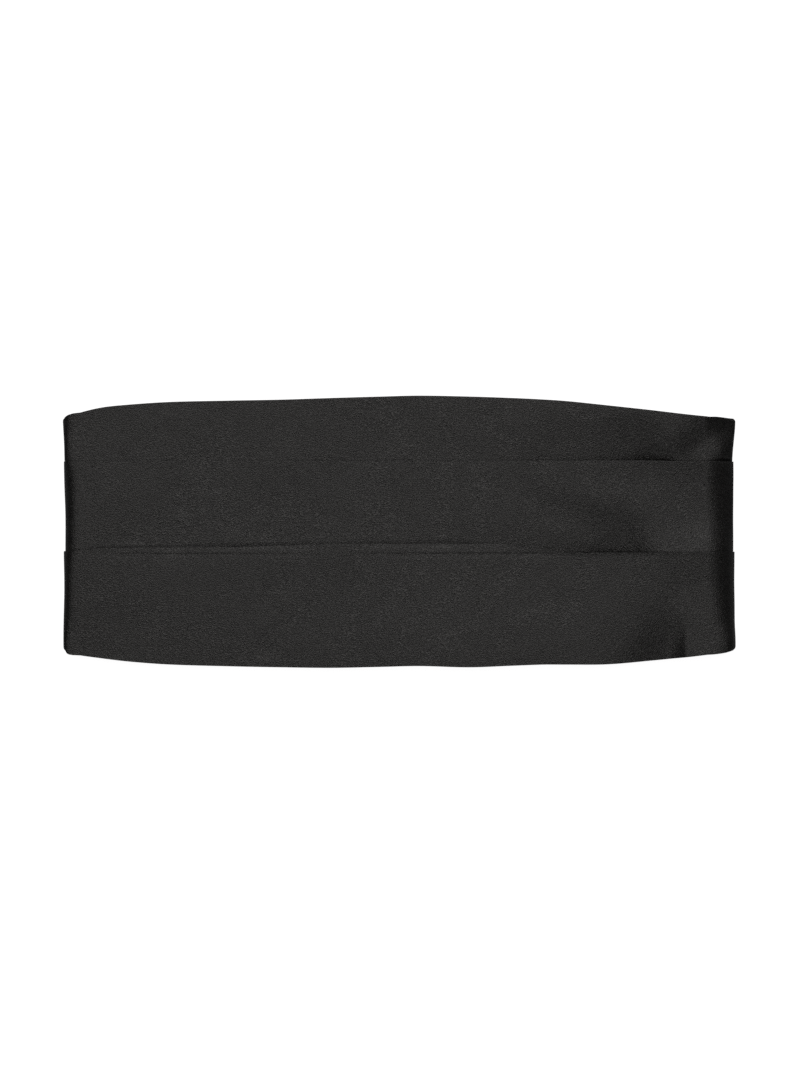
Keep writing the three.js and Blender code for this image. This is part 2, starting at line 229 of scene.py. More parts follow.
# along: -1 and 1 are the side folds, -2 and 2 the panel's ends at the back, 0 the front's middle.
# top, middle, lower, bottom: the cut edges and the two pleat folds, as shares of half the height.
EDGES = [
    dict(along=-2.00, top=0.500, middle=0.265, lower=-0.085, bottom=-0.530),
    dict(along=-1.50, top=0.700, middle=0.390, lower=-0.115, bottom=-0.730),
    dict(along=-1.00, top=0.838, middle=0.514, lower=-0.148, bottom=-0.880),
    dict(along=-0.97, top=0.862, middle=0.514, lower=-0.146, bottom=-0.904),
    dict(along=-0.89, top=0.911, middle=0.516, lower=-0.126, bottom=-0.933),
    dict(along=-0.80, top=0.935, middle=0.519, lower=-0.121, bottom=-0.959),
    dict(along=-0.68, top=0.954, middle=0.520, lower=-0.119, bottom=-0.980),
    dict(along=-0.50, top=0.964, middle=0.520, lower=-0.118, bottom=-0.993),
    dict(along=-0.35, top=0.971, middle=0.520, lower=-0.108, bottom=-1.000),
    dict(along=-0.20, top=0.983, middle=0.520, lower=-0.095, bottom=-1.004),
    dict(along=-0.06, top=0.993, middle=0.520, lower=-0.094, bottom=-0.997),
    dict(along=0.06, top=1.000, middle=0.520, lower=-0.094, bottom=-0.990),
    dict(along=0.21, top=0.993, middle=0.520, lower=-0.094, bottom=-0.999),
    dict(along=0.34, top=0.982, middle=0.520, lower=-0.096, bottom=-0.987),
    dict(along=0.43, top=0.971, middle=0.520, lower=-0.129, bottom=-0.979),
    dict(along=0.50, top=0.959, middle=0.520, lower=-0.157, bottom=-0.979),
    dict(along=0.62, top=0.928, middle=0.520, lower=-0.157, bottom=-0.977),
    dict(along=0.75, top=0.893, middle=0.520, lower=-0.158, bottom=-0.951),
    dict(along=0.86, top=0.861, middle=0.512, lower=-0.158, bottom=-0.924),
    dict(along=0.93, top=0.845, middle=0.514, lower=-0.156, bottom=-0.903),
    dict(along=0.96, top=0.845, middle=0.514, lower=-0.151, bottom=-0.892),
    dict(along=1.00, top=0.833, middle=0.514, lower=-0.151, bottom=-0.873),
    dict(along=1.50, top=0.690, middle=0.395, lower=-0.120, bottom=-0.715),
    dict(along=2.00, top=0.500, middle=0.265, lower=-0.085, bottom=-0.530),
]

# How far each pleat fold gapes: 0 is pressed tight against the cloth behind it, 1 stands clear.
GAPING = [
    dict(along=-2.00, middle=0.30, lower=0.30),
    dict(along=-1.20, middle=0.40, lower=0.60),
    dict(along=-1.00, middle=0.35, lower=1.00),
    dict(along=-0.95, middle=0.14, lower=0.20),
    dict(along=-0.89, middle=0.10, lower=0.38),
    dict(along=-0.82, middle=0.07, lower=0.38),
    dict(along=-0.72, middle=0.06, lower=0.22),
    dict(along=-0.52, middle=0.06, lower=0.14),
    dict(along=-0.34, middle=0.08, lower=0.02),
    dict(along=-0.14, middle=0.10, lower=0.00),
    dict(along=0.06, middle=0.12, lower=0.02),
    dict(along=0.30, middle=0.24, lower=0.05),
    dict(along=0.38, middle=0.28, lower=0.05),
    dict(along=0.50, middle=0.32, lower=0.10),
    dict(along=0.58, middle=0.28, lower=0.40),
    dict(along=0.66, middle=0.36, lower=0.70),
    dict(along=0.72, middle=0.42, lower=0.70),
    dict(along=0.78, middle=0.60, lower=0.85),
    dict(along=0.84, middle=0.90, lower=1.00),
    dict(along=0.93, middle=0.90, lower=1.00),
    dict(along=1.00, middle=0.30, lower=0.55),
    dict(along=1.20, middle=0.40, lower=0.60),
    dict(along=2.00, middle=0.30, lower=0.30),
]

# The two side folds from the bottom edge up, where along is a height in millimetres. square: 2 is
# an ellipse and more is a tighter turn. flare: how far the cloth stands out past the panel's width.
SIDE_FOLDS = [
    dict(along=-60, left_square=5.0, left_flare=0.5, right_square=2.9, right_flare=0.9),
    dict(along=-54, left_square=5.0, left_flare=0.5, right_square=2.9, right_flare=0.9),
    dict(along=-44, left_square=3.5, left_flare=0.4, right_square=2.1, right_flare=0.6),
    dict(along=-24, left_square=3.2, left_flare=0.0, right_square=1.7, right_flare=0.3),
    dict(along=-11, left_square=2.6, left_flare=0.1, right_square=1.7, right_flare=0.2),
    dict(along=6, left_square=2.5, left_flare=-0.1, right_square=1.7, right_flare=0.0),
    dict(along=26, left_square=2.5, left_flare=0.1, right_square=1.5, right_flare=0.0),
    dict(along=34, left_square=3.6, left_flare=0.1, right_square=1.6, right_flare=-0.2),
    dict(along=39, left_square=5.0, left_flare=0.1, right_square=2.2, right_flare=-0.2),
    dict(along=45, left_square=5.0, left_flare=0.2, right_square=2.1, right_flare=0.1),
    dict(along=51, left_square=3.8, left_flare=0.5, right_square=1.5, right_flare=0.5),
    dict(along=60, left_square=3.5, left_flare=0.8, right_square=1.4, right_flare=0.8),
]

# How far the cloth above each pleat fold sinks towards it, and over what height it does so, in mm.
SINKING = [
    dict(along=-2.00, middle=0.0, middle_over=8, lower=0.0, lower_over=8),
    dict(along=0.10, middle=0.0, middle_over=14, lower=0.0, lower_over=8),
    dict(along=0.30, middle=0.3, middle_over=20, lower=0.3, lower_over=12),
    dict(along=0.42, middle=0.8, middle_over=24, lower=0.9, lower_over=32),
    dict(along=0.54, middle=1.3, middle_over=26, lower=1.8, lower_over=32),
    dict(along=0.62, middle=1.9, middle_over=26, lower=2.7, lower_over=29),
    dict(along=0.67, middle=2.6, middle_over=26, lower=2.9, lower_over=27),
    dict(along=0.70, middle=2.9, middle_over=26, lower=2.5, lower_over=25),
    dict(along=0.73, middle=3.3, middle_over=25, lower=1.4, lower_over=22),
    dict(along=0.76, middle=2.9, middle_over=22, lower=0.5, lower_over=13),
    dict(along=0.80, middle=1.6, middle_over=18, lower=0.1, lower_over=10),
    dict(along=0.84, middle=0.4, middle_over=14, lower=0.0, lower_over=8),
    dict(along=2.00, middle=0.0, middle_over=8, lower=0.0, lower_over=8),
]

# Soft hollows in the top pleat, and swells where deep is negative, in millimetres on the front.
BODY_HOLLOWS = [
    dict(x=153, y=43, deep=2.9, long=24, above=12, below=60, lean=0.6),
    dict(x=118, y=48, deep=0.5, long=26, above=10, below=10, lean=0),
]


def smooth_value(rows, along, column):
    """One column of a table at a place along it, on a smooth curve through its rows."""
    last = len(rows) - 1
    i = 0
    while i < last - 1 and along > rows[i + 1]["along"]:
        i += 1
    here, there = rows[i], rows[i + 1]
    run = there["along"] - here["along"]
    t = min(max((along - here["along"]) / run, 0), 1)

    def slope(k):
        before, after = rows[max(k - 1, 0)], rows[min(k + 1, last)]
        return (after[column] - before[column]) / (after["along"] - before["along"])

    curve = (1 + 2 * t) * (1 - t) ** 2 * here[column] + t * t * (3 - 2 * t) * there[column]
    return curve + run * (t * (1 - t) ** 2 * slope(i) - t * t * (1 - t) * slope(i + 1))


def smooth_step(value, start, end):
    t = min(max((value - start) / (end - start), 0), 1)
    return t * t * (3 - 2 * t)


class Place:
    """One place along the loop: its point on the outer skin, its outward normal and its heights."""

    def __init__(self, x, z, normal_x, normal_z, along, on_front, turn=None):
        length = math.hypot(normal_x, normal_z)
        self.x, self.z, self.on_front, self.along, self.turn = x, z, on_front, along, turn
        self.normal = Vector((normal_x / length, 0, normal_z / length))
        for edge in ("top", "middle", "lower", "bottom"):
            setattr(self, edge, HALF_HEIGHT * smooth_value(EDGES, along, edge))
        for fold in ("middle", "lower"):
            setattr(self, "gape_" + fold, max(smooth_value(GAPING, along, fold), 0))
        for column in ("middle", "middle_over", "lower", "lower_over"):
            setattr(self, "sink_" + column, max(smooth_value(SINKING, along, column), 0) * MM)

    def skin(self, y):
        """The skin's point and normal at a height. Only the side folds change with it."""
        if self.turn is None:
            return Vector((self.x, y, self.z)), self.normal
        side = 1 if self.x > 0 else -1
        word = "right" if side > 0 else "left"
        reach, rise = (RIGHT_REACH, RIGHT_RISE) if side > 0 else (LEFT_REACH, LEFT_RISE)
        square = smooth_value(SIDE_FOLDS, y / MM, word + "_square")
        flare = smooth_value(SIDE_FOLDS, y / MM, word + "_flare") * MM
        across = max(math.cos(self.turn), 0) ** (2 / square)
        up = math.copysign(abs(math.sin(self.turn)) ** (2 / square), self.turn)
        x = side * (HALF_WIDTH - reach + (reach + flare) * across)
        normal = Vector((side * across ** (square - 1) / (reach + flare), 0,
                         math.copysign(abs(up) ** (square - 1), up) * 2 / rise))
        return Vector((x, y, rise / 2 * (1 + up))), normal.normalized()


def back_share(from_middle):
    """How far along the back a place is, from its side fold to the panel's end, as a share."""
    return (HALF_WIDTH - from_middle) / (HALF_WIDTH - PANEL_END)


def front_places():
    """The front rises from the left fold to the right one and sags a little in between."""
    left, right = -HALF_WIDTH + LEFT_REACH, HALF_WIDTH - RIGHT_REACH
    rise = RIGHT_RISE - LEFT_RISE
    for i in range(1, FRONT_STEPS):
        share = i / FRONT_STEPS
        x = left + (right - left) * share
        z = LEFT_RISE + rise * smooth_step(share, 0, 1) - FRONT_SAG * math.sin(math.pi * share) ** 2
        slope = rise * 6 * share * (1 - share) - FRONT_SAG * math.pi * math.sin(2 * math.pi * share)
        yield Place(x, z, -slope / (right - left), 1, x / HALF_WIDTH, True)


def fold_places(side, reach, rise):
    """Half a turn round a side fold, from the front to the back."""
    for i in range(FOLD_STEPS + 1):
        angle = math.pi * (0.5 - i / FOLD_STEPS)
        across, up = math.cos(angle), math.sin(angle)
        x = side * (HALF_WIDTH - reach + across * reach)
        z = rise / 2 * (1 + up)
        on_front = angle > 0
        along = x / HALF_WIDTH if on_front else side * (1 + back_share(abs(x)))
        yield Place(x, z, side * across / reach, up * 2 / rise, along, on_front, angle)


def back_places(side, reach):
    """Under the back the cloth lies on the table and rises a little where it enters its end tab."""
    for i in range(1, BACK_STEPS + 1):
        x = HALF_WIDTH - reach + (PANEL_END - HALF_WIDTH + reach) * i / BACK_STEPS
        z = SEAM_LIFT * smooth_step(PANEL_END + SEAM_RUN - x, 0, SEAM_RUN / 2)
        yield Place(side * x, z, 0, -1, side * (1 + back_share(x)), False)


PLACES = [
    *reversed(list(back_places(-1, LEFT_REACH))),
    *reversed(list(fold_places(-1, LEFT_REACH, LEFT_RISE))),
    *front_places(),
    *fold_places(1, RIGHT_REACH, RIGHT_RISE),
    *back_places(1, RIGHT_REACH),
]


def hollow(rows, place, y):
    """How deep the soft hollows of a pleat are at a place on the front. A hollow with an end rises
    faster and faster towards it and stops there in a soft ridge."""
    depth = 0
    for row in rows:
        across, up = place.x / MM - row["x"], y / MM - row["y"]
        along = math.exp(-(across / row["long"]) ** 2)
        if "end" in row and across > 0:
            along = max(1 - (across / (row["end"] - row["x"])) ** RIDGE_CURVE, 0)
        up -= across * row["lean"]
        down = math.exp(-(up / (row["above"] if up > 0 else row["below"])) ** 2)
        depth += row["deep"] * MM * along * down
    return depth * smooth_step(place.normal.z, 0, 1) if place.on_front else 0


def sway(place, y):
    """The slow unevenness of cloth that has been worn and pressed, the same through all layers."""
    point = Vector((place.x, y, SWAY_SLICE)) / SWAY_LONG
    return SWAY * (noise.noise(point) + FINER_SWAY * noise.noise(point * FINER_TIMES))


def edge_thickness(gape):
    """A pleat's folded edge is thin where it is pressed tight and full where it gapes."""
    return PRESSED_EDGE + (CLOTH - PRESSED_EDGE) * min(gape, 1)


def step_down(place, gape):
    """How much lower a pleat lies than the one over it, which is more at the side folds."""
    return SIDE_STEP * (FRONT_STEP + (1 - FRONT_STEP) * gape * (1 - abs(place.normal.z)))


def sinking(depth, over, above_fold):
    """How far cloth sinks on its way down to an open fold. Under the next pleat it rises again."""
    if above_fold < 0:
        return depth * (1 - smooth_step(-above_fold, 0, LAP))
    return depth * max(1 - above_fold / over, 0) ** SINK_CURVE


def corner_tuck(place, y):
    """At the side folds the cut edges turn in a little, which rounds the four corners."""
    tuck = 0
    for edge in (place.top - y, y - place.bottom):
        if edge < CORNER:
            tuck += CORNER - math.sqrt(max(CORNER ** 2 - (CORNER - max(edge, 0)) ** 2, 0))
    return tuck * abs(place.normal.x) ** 2


def under(fold, gape, outer_depth, own_depth, y):
    """Depth of the cloth behind a fold: its own depth, but clear of the pleat that lies over it."""
    covered = outer_depth + CLOTH + BETWEEN
    if y < fold - LAP_RUN:
        return max(covered, own_depth)
    at_fold = outer_depth + edge_thickness(gape) + BETWEEN
    drop = max(at_fold - own_depth, LEAST_GROOVE * gape)
    if y <= fold:
        share = smooth_step(fold - y, 0, LAP_RUN)
        return max(at_fold + (covered - at_fold) * share, own_depth + drop * (1 - share))
    groove = GROOVE_RUN + drop * (TIGHT_RUN + (OPEN_RUN - TIGHT_RUN) * gape)
    return own_depth + drop * (1 - smooth_step(y - fold, 0, groove))


# The other two pleats lie over the panel, so their relief is worked out here, with its own. The
# lower pleat's upper edge is rolled, and at "below" millimetres under its fold an old crease runs,
# which falls sharply and rises slowly. Where roll is negative the edge turns up instead.
LOWER_HOLLOWS = [
    dict(x=134, y=-72, deep=3.9, long=21, above=25, below=22, lean=0.3, end=143),
    dict(x=148, y=-30, deep=1.0, long=16, above=13, below=40, lean=0),
    dict(x=-66, y=-58, deep=0.3, long=5, above=5, below=5, lean=0),
    dict(x=30, y=-62, deep=-1.3, long=60, above=28, below=28, lean=0),
    dict(x=-150, y=-60, deep=0.6, long=25, above=25, below=25, lean=0),
]
MIDDLE_HOLLOWS = [
    dict(x=152, y=10, deep=2.1, long=27, above=22, below=17, lean=0),
    dict(x=92, y=6, deep=0.6, long=28, above=9, below=9, lean=-0.3),
    dict(x=-138, y=-4, deep=0.15, long=14, above=3.5, below=3.5, lean=0),
    dict(x=130, y=27, deep=0.65, long=26, above=11, below=10, lean=0),
]
ROLL_CURVE = 1.5
CREASE_FALL = 0.5 * MM
CREASE_RISE = 2.0 * MM
LOWER_LEAN = 0.3 * MM
ROLLED_EDGE = [
    dict(along=-2.00, below=2.0, roll=0.00, crease=0.00),
    dict(along=-0.95, below=1.0, roll=0.00, crease=0.00),
    dict(along=-0.88, below=2.4, roll=0.04, crease=0.05),
    dict(along=-0.70, below=3.2, roll=0.10, crease=0.11),
    dict(along=-0.50, below=3.2, roll=0.18, crease=0.12),
    dict(along=-0.36, below=3.9, roll=0.20, crease=0.10),
    dict(along=-0.26, below=4.4, roll=0.14, crease=0.03),
    dict(along=-0.17, below=4.8, roll=0.11, crease=0.01),
    dict(along=0.00, below=4.8, roll=0.22, crease=0.12),
    dict(along=0.28, below=4.8, roll=0.24, crease=0.13),
    dict(along=0.32, below=4.8, roll=0.10, crease=0.13),
    dict(along=0.36, below=4.4, roll=-0.08, crease=0.13),
    dict(along=0.39, below=3.6, roll=-0.15, crease=0.13),
    dict(along=0.42, below=2.7, roll=-0.13, crease=0.12),
    dict(along=0.45, below=1.9, roll=-0.10, crease=0.08),
    dict(along=0.50, below=1.6, roll=-0.08, crease=0.00),
    dict(along=0.62, below=2.0, roll=-0.14, crease=0.00),
    dict(along=0.80, below=2.0, roll=-0.12, crease=0.00),
    dict(along=0.93, below=2.0, roll=-0.06, crease=0.00),
    dict(along=2.00, below=2.0, roll=0.00, crease=0.00),
]


def lower_depth(place, y):
    """Outer face of the lower pleat: its rolled fold, the old pressed crease and the flat below."""
    below = smooth_value(ROLLED_EDGE, place.along, "below") * MM
    from_fold = place.lower - y
    roll = smooth_value(ROLLED_EDGE, place.along, "roll") * MM
    roll *= max(1 - from_fold / below, 0) ** ROLL_CURVE
    crease = smooth_value(ROLLED_EDGE, place.along, "crease") * MM
    past = from_fold - below
    crease *= math.exp(-(past / (CREASE_FALL if past < 0 else CREASE_RISE)) ** 2)
    lean = LOWER_LEAN * min(max(from_fold / (place.lower - place.bottom), 0), 1)
    return (roll + crease + lean + corner_tuck(place, y)
            + hollow(LOWER_HOLLOWS, place, y) + sway(place, y))


def middle_depth(place, y):
    """Outer face of the middle pleat, which runs on under the lower one."""
    share = min(max((place.middle - y) / (place.middle - place.lower), 0), 1)
    own = (step_down(place, place.gape_lower) * share + corner_tuck(place, y)
           + sinking(place.sink_lower, place.sink_lower_over, y - place.lower)
           + hollow(MIDDLE_HOLLOWS, place, y) + sway(place, y))
    outer = lower_depth(place, min(y, place.lower))
    return under(place.lower, place.gape_lower, outer, own, y)


def body_depth(place, y):
    """Outer face of the body panel: the top pleat, then the part that is under the other two."""
    share = min(max((place.top - y) / (place.top - place.middle), 0), 1)
    own = (step_down(place, place.gape_middle) * share + corner_tuck(place, y)
           + sinking(place.sink_middle, place.sink_middle_over, y - place.middle)
           + hollow(BODY_HOLLOWS, place, y) + sway(place, y))
    if y > place.lower - LAP:
        outer = middle_depth(place, min(y, place.middle))
        return under(place.middle, place.gape_middle, outer, own, y)
    covered = lower_depth(place, y) + CLOTH + BETWEEN
    lapped = middle_depth(place, place.lower - LAP) + CLOTH + BETWEEN
    share = smooth_step(place.lower - LAP - y, 0, LAP / 2)
    return max(lapped + (covered - lapped) * share, covered)


CROWD_AT_START, CROWD_AT_FOOT = 2, 2.2


def heights_down(upper, spans):
    """Heights from an edge down. A span is its foot, its steps and the end that they crowd to."""
    heights = [upper]
    start = upper
    for foot, steps, crowd in spans:
        for i in range(1, steps + 1):
            t = i / steps
            if crowd == "start":
                t = t ** CROWD_AT_START
            elif crowd == "foot":
                t = 1 - (1 - t) ** CROWD_AT_FOOT
            heights.append(start + (foot - start) * t)
        start = foot
    return heights


def cloth_ring(place, depth_at, heights, upper_edge):
    """Closed outline of one layer at one place: outer face, cut edge, inner face, fold."""
    def thickness(y):
        share = smooth_step(heights[0] - y, 0, EDGE_TAPER)
        return upper_edge + (CLOTH - upper_edge) * share

    outer = [(y, depth_at(place, y)) for y in heights]
    inner = [(y, depth + thickness(y)) for y, depth in outer]
    ring = list(outer)
    for (y, start), (_, end), swing in ((outer[-1], inner[-1], -1), (inner[0], outer[0], 1)):
        if swing == 1:
            ring.extend(reversed(inner))
        middle, radius = (start + end) / 2, (end - start) / 2
        for i in range(1, EDGE_STEPS):
            angle = math.pi * i / EDGE_STEPS
            ring.append((y + swing * abs(radius) * math.sin(angle),
                         middle - radius * math.cos(angle)))
    return ring


def tube(rings, size, first=0):
    """Faces of a closed tube through rings of points, and its two caps."""
    faces = []
    for i in range(rings - 1):
        for j in range(size):
            a, b = first + i * size + j, first + i * size + (j + 1) % size
            faces.append((a, b, b + size, a + size))
    faces.append(tuple(first + j for j in reversed(range(size))))
    faces.append(tuple(first + (rings - 1) * size + j for j in range(size)))
    return faces


def make_piece(name, points, faces, material):
    mesh = bpy.data.meshes.new(name)
    mesh.from_pydata(points, [], faces)
    mesh.shade_smooth()
    mesh.materials.append(material)
    piece = bpy.data.objects.new(name, mesh)
    bpy.context.collection.objects.link(piece)
    return piece


def sew_loop(name, depth_at, heights_at, gape_at):
    """Makes one layer of the loop as a closed mesh, from the ring at each place along it."""
    points = []
    for place in PLACES:
        ring = cloth_ring(place, depth_at, heights_at(place), edge_thickness(gape_at(place)))
        for y, depth in ring:
            point, normal = place.skin(y)
            points.append(point - normal * depth)
    return make_piece(name, points, tube(len(PLACES), len(ring)), black_satin)


def flat_cut(heights_at):
    """Length of the loop, its greatest height and its area, as the cloth was cut flat."""
    length = area = tallest = 0
    for before, after in zip(PLACES, PLACES[1:]):
        step = math.hypot(after.x - before.x, after.z - before.z)
        tall = [heights_at(p)[0] - heights_at(p)[-1] for p in (before, after)]
        length += step
        area += step * sum(tall) / 2
        tallest = max(tallest, *tall)
    return length, tallest, area


def body_heights(place):
    return heights_down(place.top - CLOTH / 2, [
        ((place.top + place.middle) / 2, 10, "start"),
        (place.middle, 16, "foot"),
        (place.lower, 9, "start"),
        (place.lower - LAP, 4, "even"),
        (place.lower - LAP * 1.5, 4, "even"),
        (place.bottom + BOTTOM_INSET, 6, "foot"),
    ])


# The satin: the colours of its deepest and palest threads, the length, width and height of the
# grain that its floating threads make, how dull and how glossy they are, and the cloudy patches
# that pressing has left. The noise that both are read from spans about 0.3 to 0.7.
SATIN_DARK = (0.0015, 0.0014, 0.0014, 1)
SATIN_PALE = (0.0360, 0.0346, 0.0332, 1)
FLOAT_LONG, FLOAT_TALL, FLOAT_HIGH = 0.50 * MM, 0.42 * MM, 0.17 * MM
PALE_FROM, PALE_FULL = 0.46, 0.72
DULL, GLOSSY = 0.52, 0.18
CLOUD_LONG, CLOUD_TALL, CLOUD_ROUGH = 9 * MM, 7 * MM, 0.02
NOISE_LOW, NOISE_HIGH = 0.3, 0.7


def satin():
    """Black satin: almost no colour of its own, a soft gloss, and a fine broken grain."""
    material, shader, nodes, links = new_finish("black_satin")
    shader.inputs["Specular IOR Level"].default_value = 0.5
    place = nodes.new("ShaderNodeTexCoord")

    def grain(long, tall, detail):
        stretch = nodes.new("ShaderNodeMapping")
        stretch.inputs["Scale"].default_value = (1 / long, 1 / tall, 1 / long)
        threads = nodes.new("ShaderNodeTexNoise")
        threads.inputs["Scale"].default_value = 1
        threads.inputs["Detail"].default_value = detail
        links.new(place.outputs["Object"], stretch.inputs["Vector"])
        links.new(stretch.outputs["Vector"], threads.inputs["Vector"])
        return threads.outputs["Fac"]

    def spread(source, low, high, from_low=NOISE_LOW, from_high=NOISE_HIGH):
        span = nodes.new("ShaderNodeMapRange")
        span.inputs["From Min"].default_value = from_low
        span.inputs["From Max"].default_value = from_high
        span.inputs["To Min"].default_value = low
        span.inputs["To Max"].default_value = high
        links.new(source, span.inputs["Value"])
        return span.outputs["Result"]

    floats = grain(FLOAT_LONG, FLOAT_TALL, 0)
    cloudy = grain(CLOUD_LONG, CLOUD_TALL, 2)
    tone = nodes.new("ShaderNodeMix")
    tone.data_type = "RGBA"
    tone.inputs["A"].default_value = SATIN_DARK
    tone.inputs["B"].default_value = SATIN_PALE
    links.new(spread(floats, 0, 1, PALE_FROM, PALE_FULL), tone.inputs["Factor"])
    links.new(tone.outputs["Result"], shader.inputs["Base Color"])
    rough = nodes.new("ShaderNodeMath")
    rough.operation = "ADD"
    links.new(spread(floats, DULL, GLOSSY), rough.inputs[0])
    links.new(spread(cloudy, -CLOUD_ROUGH, CLOUD_ROUGH), rough.inputs[1])
    links.new(rough.outputs["Value"], shader.inputs["Roughness"])
    bump = nodes.new("ShaderNodeBump")
    bump.inputs["Strength"].default_value = 1
    bump.inputs["Distance"].default_value = FLOAT_HIGH
    links.new(floats, bump.inputs["Height"])
    links.new(bump.outputs["Normal"], shader.inputs["Normal"])
    return material


black_satin = satin()
body = sew_loop("satin_body_panel", body_depth, body_heights, lambda place: 1)
length, tallest, area = flat_cut(body_heights)
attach(body, "root")
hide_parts("body_panel")


# The middle pleat. Satin folded over at its upper edge, lapped over the body panel and sewn in
# under the lower pleat, so that it opens upwards. Its fold lies tight on the left and gapes on
# the right.
def middle_heights(place):
    return heights_down(place.middle, [
        ((place.middle + place.lower) / 2, 13, "start"),
        (place.lower, 16, "foot"),
        (place.lower - LAP, 6, "start"),
    ])


middle = sew_loop("satin_middle_pleat", middle_depth, middle_heights,
                  lambda place: place.gape_middle)
length, tallest, area = flat_cut(middle_heights)
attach(middle, "root")
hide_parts("middle_pleat")


# The lower pleat. The lowest fold of satin, over the other two. Its upper edge has rolled up past
# the crease that it was once pressed to, which still shows as a faint second line.
def lower_heights(place):
    below = smooth_value(ROLLED_EDGE, place.along, "below") * MM
    return heights_down(place.lower, [
        (place.lower - below / 2, 7, "start"),
        (place.lower - below, 6, "foot"),
        (place.lower - below - 2.5 * CREASE_RISE, 9, "start"),
        ((place.lower + place.bottom) / 2, 9, "even"),
        (place.bottom + CLOTH / 2, 14, "foot"),
    ])


lower = sew_loop("satin_lower_pleat", lower_depth, lower_heights, lambda place: place.gape_lower)
length, tallest, area = flat_cut(lower_heights)
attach(lower, "root")
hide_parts("lower_pleat")


# The end tabs. Each is a flat sleeve of satin, its two leaves sewn along their edges, that takes
# in the panel's narrowed end and tapers to the strap. Rows of black stitches hold both.
# Places along the back are distances from its middle.
TAB_MOUTH = 34 * MM
TAB_END = PANEL_END + 5.5 * MM
TAB_LEAF = 0.6 * MM
TAB_MARGIN = 1 * MM
MOUTH_HALF = 18 * MM
TAB_STEPS = 44
TAB_ACROSS = 26

# How square the sleeve's section is at its sides and faces: 1 is an ellipse and less is squarer.
SLEEVE_SIDES = 0.8
SLEEVE_FACES = 0.28

# The stitches, and their rows: two across the strap, two across the mouth and one at each edge.
STITCH_LONG = 2.0 * MM
STITCH_PITCH = 2.7 * MM
STITCH_RADIUS = 0.17 * MM
STITCH_FLATNESS = 0.7
STITCH_BLUNTNESS, STITCH_TIP = 4, 0.02
STITCH_LIFT = 0.05 * MM
STITCH_RINGS, STITCH_SIDES = 6, 6
STRAP_ROWS = (2.2 * MM, 3.7 * MM)
STRAP_ROW_INSET = 3 * MM
MOUTH_ROWS = (2.5 * MM, 10.5 * MM)
MOUTH_ROW_HALF = 13 * MM
EDGE_ROW_INSET = 2.2 * MM
EDGE_ROW_START = 1 * MM

# The sleeve's lowest and highest level in millimetres above the table, from its mouth outwards.
SLEEVE_LEVELS = [
    dict(along=34, floor=0.45, roof=3.15),
    dict(along=37, floor=0.60, roof=3.02),
    dict(along=45, floor=0.58, roof=3.02),
    dict(along=51, floor=0.55, roof=2.55),
    dict(along=56, floor=0.40, roof=2.75),
    dict(along=61, floor=0.20, roof=3.50),
    dict(along=66, floor=0.18, roof=3.62),
]


def panel_edges(x):
    """The panel's top and bottom edge at a distance from the middle of the back."""
    along = 1 + back_share(max(x, PANEL_END))
    return [HALF_HEIGHT * smooth_value(EDGES, along, column) for column in ("top", "bottom")]


def sleeve_edges(x):
    """The tab's two edges, which widen from its mouth until they take in the panel's end."""
    top, bottom = panel_edges(x)
    share = min((x - TAB_MOUTH) / (PANEL_END - TAB_MOUTH), 1)
    return (MOUTH_HALF + (top + TAB_MARGIN - MOUTH_HALF) * share,
            -MOUTH_HALF + (bottom - TAB_MARGIN + MOUTH_HALF) * share)


def sleeve_point(x, angle, inset=0):
    """A point on the sleeve, going round from its top edge. The inset leads to its inner face."""
    top, bottom = sleeve_edges(x)
    floor = smooth_value(SLEEVE_LEVELS, x / MM, "floor") * MM
    roof = smooth_value(SLEEVE_LEVELS, x / MM, "roof") * MM
    across, up = math.cos(angle), math.sin(angle)
    wide = (top - bottom) / 2 - inset
    high = (roof - floor) / 2 - inset
    y = (top + bottom) / 2 + wide * math.copysign(abs(across) ** SLEEVE_SIDES, across)
    z = (roof + floor) / 2 + high * math.copysign(abs(up) ** SLEEVE_FACES, up)
    return Vector((x, y, z))


def sleeve_angle(x, y, up):
    """The angle at which the sleeve's outer face has a given height, on its upper or lower leaf."""
    top, bottom = sleeve_edges(x)
    share = (y - (top + bottom) / 2) / ((top - bottom) / 2)
    angle = math.acos(math.copysign(abs(share) ** (1 / SLEEVE_SIDES), share))
    return angle if up else -angle


def sleeve(name, side):
    """The tab's closed wall: its outer face from the mouth out, and its inner face back again."""
    rings = []
    around = 2 * TAB_ACROSS
    angles = [2 * math.pi * i / around for i in range(around)]
    for inset in (0, TAB_LEAF):
        order = range(TAB_STEPS + 1) if inset == 0 else range(TAB_STEPS, -1, -1)
        for i in order:
            x = TAB_MOUTH + (TAB_END - TAB_MOUTH) * i / TAB_STEPS
            rings.append([sleeve_point(x, angle, inset) for angle in angles])
    points = [Vector((side * p.x, p.y, p.z)) for ring in rings for p in ring]
    faces = []
    for i in range(len(rings)):
        for j in range(around):
            a, b = i * around + j, i * around + (j + 1) % around
            c, d = (b + around) % len(points), (a + around) % len(points)
            faces.append((a, b, c, d) if side > 0 else (d, c, b, a))
    return make_piece(name, points, faces, black_satin)


